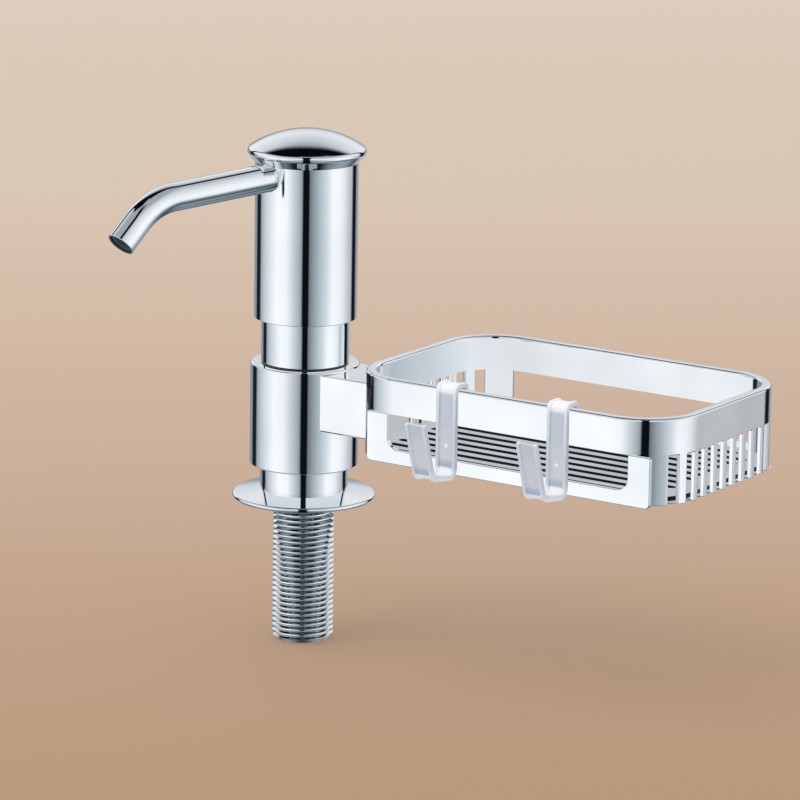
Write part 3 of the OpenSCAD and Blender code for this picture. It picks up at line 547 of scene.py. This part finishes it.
# Caddy ring and arm
# One casting: the ring turns on dark bushes, and the flat arm runs out of it to the
# basket's near wall.
def round_bar(name, low, high, edge):
    """A bar with rounded edges, from a cube scaled to its two corners in mm."""
    bpy.ops.mesh.primitive_cube_add(size=1, location=[(a + b) / 2 * MM for a, b in zip(low, high)])
    bar = bpy.context.object
    bar.name = bar.data.name = name
    bar.scale = [(b - a) * MM for a, b in zip(low, high)]
    bpy.ops.object.transform_apply(location=True, rotation=True, scale=True)
    bpy.ops.object.mode_set(mode="EDIT")
    bpy.ops.mesh.select_all(action="SELECT")
    bpy.ops.mesh.bevel(offset=edge * MM, segments=3, affect="EDGES")
    bpy.ops.object.mode_set(mode="OBJECT")
    bpy.ops.object.shade_smooth_by_angle(angle=math.radians(50))
    return bar


RING_BORE, RING_LOW, RING_TOP = 13.0, 11.8, 47.0
ring = turn("caddy_ring_cast", arc(18.0, RING_LOW + 0.5, 0.5, -90, 0, 4)
            + arc(18.0, RING_TOP - 0.5, 0.5, 0, 90, 4)
            + [(RING_BORE, RING_TOP), (RING_BORE, RING_LOW)], steps=144)
arm = round_bar("arm", (12, -11.6, 26.7), (50, 11.6, 46.2), 0.7)
keep_out = turn("keep_out", [(0, 20), (RING_BORE, 20), (RING_BORE, 50), (0, 50)], steps=144)
cut(arm, keep_out, "DIFFERENCE")

# The basket's outside, and the middles of its four round corners. Near is the side by
# the pillar
NEAR_X, FAR_X, FRONT_Y, BACK_Y, CORNER_R = 28.4, 153.6, -19.2, 63.4, 20.5
NEAR_CX, FAR_CX = NEAR_X + CORNER_R, FAR_X - CORNER_R
FRONT_CY, BACK_CY = FRONT_Y + CORNER_R, BACK_Y - CORNER_R
MID_Y = (FRONT_Y + BACK_Y) / 2


def basket_path(inset, side_breaks=(), corner_breaks=()):
    """Points round the basket, inset from its outside. The breaks are extra points, where
    slots and windows begin and end: Y on the short sides, degrees on the corners."""
    reach = CORNER_R - inset
    on_sides = sorted(y for y in side_breaks if FRONT_CY < y < BACK_CY)
    middles = ((FAR_CX, BACK_CY), (NEAR_CX, BACK_CY), (NEAR_CX, FRONT_CY), (FAR_CX, FRONT_CY))
    points = []
    for k, (cx, cy) in enumerate(middles):
        angles = {90 * k + 90 * i / 14 for i in range(15)}
        angles |= {a for a in corner_breaks if 90 * k < a < 90 * k + 90}
        points += [(cx + reach * math.cos(math.radians(a)), cy + reach * math.sin(math.radians(a)))
                   for a in sorted(angles)]
        if k == 1:
            points += [(NEAR_X + inset, y) for y in reversed(on_sides)]
        if k == 3:
            points += [(FAR_X - inset, y) for y in on_sides]
    return points


# The arm ends on the outside of the basket's wall
blank = draw("basket_blank", [(x, y, 20) for x, y in basket_path(0)], True)
bpy.ops.mesh.edge_face_add()
pull(0, 0, 35)
close_up()
cut(arm, blank, "DIFFERENCE")
cut(ring, arm, "UNION")
dress(ring, chrome_cast, "caddy", "caddy_ring")

# Basket
# One casting: a thick band with rounded edges runs round the top. The thin skirt under
# it is slotted on its short sides and cut away along the front and back.
RIM_Z, BAND_Z, FOOT_Z, BAND_T, SKIRT_T = 51.0, 39.2, 22.3, 3.75, 1.6
SLOT_FOOT, SLOT_TOP = 27.2, 38.7


def thicken(wall, thickness):
    """Gives a sheet a thickness inwards."""
    shape(wall, "SOLIDIFY", thickness=thickness * MM, offset=-1, use_even_offset=True)


def round_edges(piece, chosen, radius, segments):
    """Rounds the sharp edges of a piece that chosen says yes to, given their two ends in mm."""
    bpy.ops.object.mode_set(mode="EDIT")
    bpy.ops.mesh.select_mode(type="EDGE")
    bpy.ops.mesh.select_all(action="DESELECT")
    edges = bmesh.from_edit_mesh(piece.data)
    for edge in edges.edges:
        sharp = edge.calc_face_angle(0) > math.radians(50)
        edge.select = sharp and chosen(*[v.co / MM for v in edge.verts])
    bmesh.update_edit_mesh(piece.data)
    bpy.ops.mesh.bevel(offset=radius * MM, segments=segments, affect="EDGES")
    bpy.ops.mesh.select_mode(type="VERT")
    bpy.ops.object.mode_set(mode="OBJECT")
    bpy.ops.object.shade_smooth_by_angle(angle=math.radians(40))


band = draw("basket_band", [(x, y, BAND_Z) for x, y in basket_path(0)], True)
pull(0, 0, RIM_Z - BAND_Z)
close_up()
thicken(band, BAND_T)
round_edges(band, lambda a, b: min(a.z, b.z) > RIM_Z - 0.01, 1.0, 5)

# Slots: a row on each short side, which goes on round both far corners and round the
# near corner at the back
SLOT_W, SLOT_PITCH = 3.9, 6.07
far_slots = [MID_Y + k * SLOT_PITCH for k in range(-4, 5)]
near_slots = [MID_Y + 3.1 + k * SLOT_PITCH for k in range(-1, 5)]
corner_slots = ((30, FAR_CX, BACK_CY), (330, FAR_CX, FRONT_CY), (138.5, NEAR_CX, BACK_CY))
half_slot = math.degrees(math.asin(SLOT_W / 2 / CORNER_R))
straight_edges = [y + s * SLOT_W / 2 for y in far_slots + near_slots for s in (-1, 1)]
corner_edges = [angle + s * half_slot for angle, _, _ in corner_slots for s in (-1, 1)]
for edge_y in straight_edges:
    if not FRONT_CY < edge_y < BACK_CY:
        angle = math.degrees(math.asin((edge_y - (BACK_CY if edge_y > MID_Y else FRONT_CY)) / CORNER_R))
        corner_edges += [angle % 360, 180 - angle]
FRONT_CUT, BACK_WINDOW = (41.0, 141.0), (43.97, 138.0)
# The corner angles at which the front cut and the back window begin
for (near, far), sign in ((BACK_WINDOW, 1), (FRONT_CUT, -1)):
    for x, cx in ((near, NEAR_CX), (far, FAR_CX)):
        corner_edges.append(sign * math.degrees(math.acos((x - cx) / CORNER_R)) % 360)
skirt = draw("basket_skirt", [(x, y, FOOT_Z) for x, y in basket_path(0, straight_edges, corner_edges)], True)
for low, high in ((FOOT_Z, SLOT_FOOT), (SLOT_FOOT, SLOT_TOP), (SLOT_TOP, BAND_Z)):
    pull(0, 0, high - low)


def in_slot(face):
    """Whether a face of the skirt lies in a slot: under the slots' top, between two slot edges."""
    middle = face.calc_center_median() / MM
    if middle.z > SLOT_TOP or NEAR_CX < middle.x < FAR_CX:
        return False
    for angle, cx, cy in corner_slots:
        from_corner = Vector((middle.x - cx, middle.y - cy))
        outward = Vector((math.cos(math.radians(angle)), math.sin(math.radians(angle))))
        if from_corner.dot(outward) > 15 and abs(from_corner.cross(outward)) < SLOT_W / 2 - 0.2:
            return True
    row = near_slots if middle.x < NEAR_CX else far_slots
    return any(abs(middle.y - y) < SLOT_W / 2 - 0.2 for y in row)


def in_window(face):
    """Whether a face of the skirt lies in the back window or behind the front panel."""
    middle = face.calc_center_median() / MM
    if middle.y < MID_Y:
        return FRONT_CUT[0] < middle.x < FRONT_CUT[1]
    return BACK_WINDOW[0] < middle.x < BACK_WINDOW[1] and SLOT_FOOT < middle.z < BAND_Z


bpy.ops.mesh.select_mode(type="FACE")
bpy.ops.mesh.select_all(action="DESELECT")
for face in bmesh.from_edit_mesh(skirt.data).faces:
    face.select = in_slot(face) or in_window(face)
bmesh.update_edit_mesh(skirt.data)
bpy.ops.mesh.delete(type="FACE")
close_up()
thicken(skirt, SKIRT_T)
round_edges(skirt, lambda a, b: min(a.z, b.z) < BAND_Z - 0.01, 0.3, 3)
# A narrow ledge inside the skirt's foot carries the floor
ledge = draw("basket_ledge", [(x, y, FOOT_Z) for x, y in basket_path(1.5)], True)
pull(0, 0, 1)
close_up()
thicken(ledge, 3.1)
bpy.ops.object.select_all(action="DESELECT")
for part in (skirt, ledge, band):
    part.select_set(True)
bpy.context.view_layer.objects.active = band
bpy.ops.object.join()
band.name = band.data.name = "basket_cast"
dress(band, chrome_cast, "caddy", "basket")

# Front panel: a flat plate soldered over the skirt's front, with a wide window that
# reaches up to the band.
PANEL_T = 1.6
panel_outline = [(38.5, BAND_Z)] + arc(40.3, 24.1, 1.8, 180, 270) + arc(146.2, 24.1, 1.8, 270, 360)
panel_outline += arc(146.8, 38.0, 1.2, 0, 90, 4)
panel_outline += [(139.6, BAND_Z)] + arc(135.6, 31.2, 4, 360, 270)
panel_outline += arc(50.9, 31.2, 4, 270, 180) + [(46.9, BAND_Z)]
panel = draw("front_panel_plate", [(x, FRONT_Y, z) for x, z in panel_outline], True)
bpy.ops.mesh.edge_face_add()
bpy.ops.mesh.normals_make_consistent(inside=False)
pull(0, PANEL_T, 0)
close_up()
shape(panel, "BEVEL", width=0.3 * MM, segments=3, limit_method="ANGLE", angle_limit=math.radians(50),
      harden_normals=True)
dress(panel, chrome_cast, "caddy", "front_panel")

# Hooks
# Two, moulded in clear plastic that has gone slightly milky. The strip is a thin web
# between two raised edges; it clips over the rim, runs down the front and turns out
# into a leaning prong.
HOOK_LEFT_X, HOOK_RIGHT_X = 71.0, 113.8
clear, tree, shader, place = new_finish("milky_polycarbonate")
on_hook = add(tree, "ShaderNodeSeparateXYZ", Vector=place).outputs
# The thin web, 2.8 mm to either side of a hook's middle, and the thick edges are coloured by height
# with painted light: white at the lower bend and over the rim, greys between, and on the web painted
# blues and greys of what shows through it. The edges stay paler than the web.
from_left = maths(tree, "SUBTRACT", on_hook["X"], HOOK_LEFT_X * MM)
from_middle = maths(tree, "PINGPONG", from_left, (HOOK_RIGHT_X - HOOK_LEFT_X) / 2 * MM)
up_hook = spread(tree, on_hook["Z"], 0.018, 0.054)
# Painted light and painted see-through on the web, by height
web_painted_light = ramp(tree, up_hook, [
    (0.0, "#FCFCFD"), (0.19, "#F7F7F9"), (0.205, "#AEBACC"), (0.24, "#B9C4D4"), (0.28, "#D8D8DF"),
    (0.52, "#D6D5DC"), (0.60, "#CAD1D9"), (0.87, "#C7CED6"), (0.90, "#F5F5F7"), (1.0, "#F3F3F6")])
cloud = noise(tree, place, 160, 2)
# Painted light on the edges, by height, clouded a little at random
edge_painted_light = ramp(tree, maths(tree, "MULTIPLY_ADD", cloud, 0.12, up_hook), [
    (0.06, "#FBFBFC"), (0.2, "#F2F3F5"), (0.3, "#DADEE3"), (0.5, "#D9D9DF"), (0.7, "#DDE1E6"),
    (0.9, "#E3E6EA"), (0.98, "#F1F1F4")])
# The colour mixes the painted light of the edges with that of the web
milky = mix_colours(tree, fade(tree, from_middle, 0.0030, 0.0025), edge_painted_light, web_painted_light)
# The mould's gate left a small spot on each hook's strap; its bright white is a painted glint.
GATE_Y, GATE_Z = -0.0208, 0.0323
from_gate = add(tree, "ShaderNodeVectorMath", {"operation": "DISTANCE"}, i1=(0, GATE_Y, GATE_Z), i0=add(
    tree, "ShaderNodeCombineXYZ", X=from_middle, Y=on_hook["Y"], Z=on_hook["Z"]).outputs[0]).outputs["Value"]
give(tree, shader, Base_Color=mix_colours(tree, spread(tree, from_gate, 0.0008, 0.0004), milky, "#FFFFFF"),
     Normal=bumps(tree, noise(tree, place, 400, 1), 0.15, 0.0002),
     Roughness=spread(tree, cloud, 0.0, 1.0, 0.22, 0.4))
shader.inputs["IOR"].default_value = 1.45
shader.inputs["Transmission Weight"].default_value = 0.12

HOOK_T, HOOK_W, RIB, WEB = 1.8, 7.6, 1.2, 0.8
CLIP_GAP, CLIP_LEG, STRAP, CROOK_FOOT, PRONG = 0.3, 7, 29.5, 8, 18.2
TOP_R, CROOK_R = 0.6 + HOOK_T / 2, 1.9 + HOOK_T / 2


def hook(name, middle_x):
    """Sweeps the strip's section along its route: straights are extruded and bends are spun."""
    t, w, h = HOOK_T / 2, HOOK_W / 2, WEB / 2
    inner = w - RIB
    # The section lies across the strip: the first number is through its thickness
    section = [(t, -w), (t, -inner), (h, -inner + 0.25), (h, inner - 0.25), (t, inner), (t, w),
               (-t, w), (-t, inner), (-h, inner - 0.25), (-h, -inner + 0.25), (-t, -inner), (-t, -w)]
    spot = Vector((0, FRONT_Y + BAND_T + CLIP_GAP + t, RIM_Z - CLIP_LEG))
    strip = draw(name, [(middle_x + b, spot.y + a, spot.z) for a, b in section], True)
    bpy.ops.mesh.edge_face_add()
    heading = 90.0
    # Up behind the band, over the rim, down the strap, out along the foot and up the prong
    route = ((CLIP_LEG + CLIP_GAP + t - TOP_R, -90, TOP_R),
             (BAND_T + 2 * (CLIP_GAP + t) - 2 * TOP_R, -90, TOP_R),
             (STRAP + CLIP_GAP - TOP_R - CROOK_R, 98, CROOK_R),
             (CROOK_FOOT, 65.5, CROOK_R))
    for length, turned, radius in route:
        a, s = math.radians(heading), math.copysign(1, turned)
        go = Vector((0, -math.cos(a), math.sin(a))) * length
        pull(*go)
        to_centre = Vector((0, s * math.sin(a), s * math.cos(a))) * radius
        centre = spot + go + to_centre
        bpy.ops.mesh.spin(steps=10, angle=math.radians(abs(turned)), center=centre * MM, axis=(s, 0, 0))
        heading += turned
        spot = centre - Matrix.Rotation(math.radians(-turned), 3, "X") @ to_centre
    a = math.radians(heading)
    pull(0, -math.cos(a) * PRONG, math.sin(a) * PRONG)
    close_up(40)
    shape(strip, "BEVEL", width=0.22 * MM, segments=2, limit_method="ANGLE", angle_limit=math.radians(35))
    bpy.ops.object.shade_smooth_by_angle(angle=math.radians(50))
    return strip


left_hook = hook("hook_left_strip", HOOK_LEFT_X)
dress(left_hook, clear, "left_hook", "hook_left")
right_hook = hook("hook_right_strip", HOOK_RIGHT_X)
dress(right_hook, clear, "right_hook", "hook_right")

# The photograph's mirror faces were cleaned of what stands beside them, so the caddy's
# parts and the shank aren't seen in reflections.
for piece in (ring, band, panel, shank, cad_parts["floor_grille"], left_hook, right_hook):
    piece.visible_glossy = False
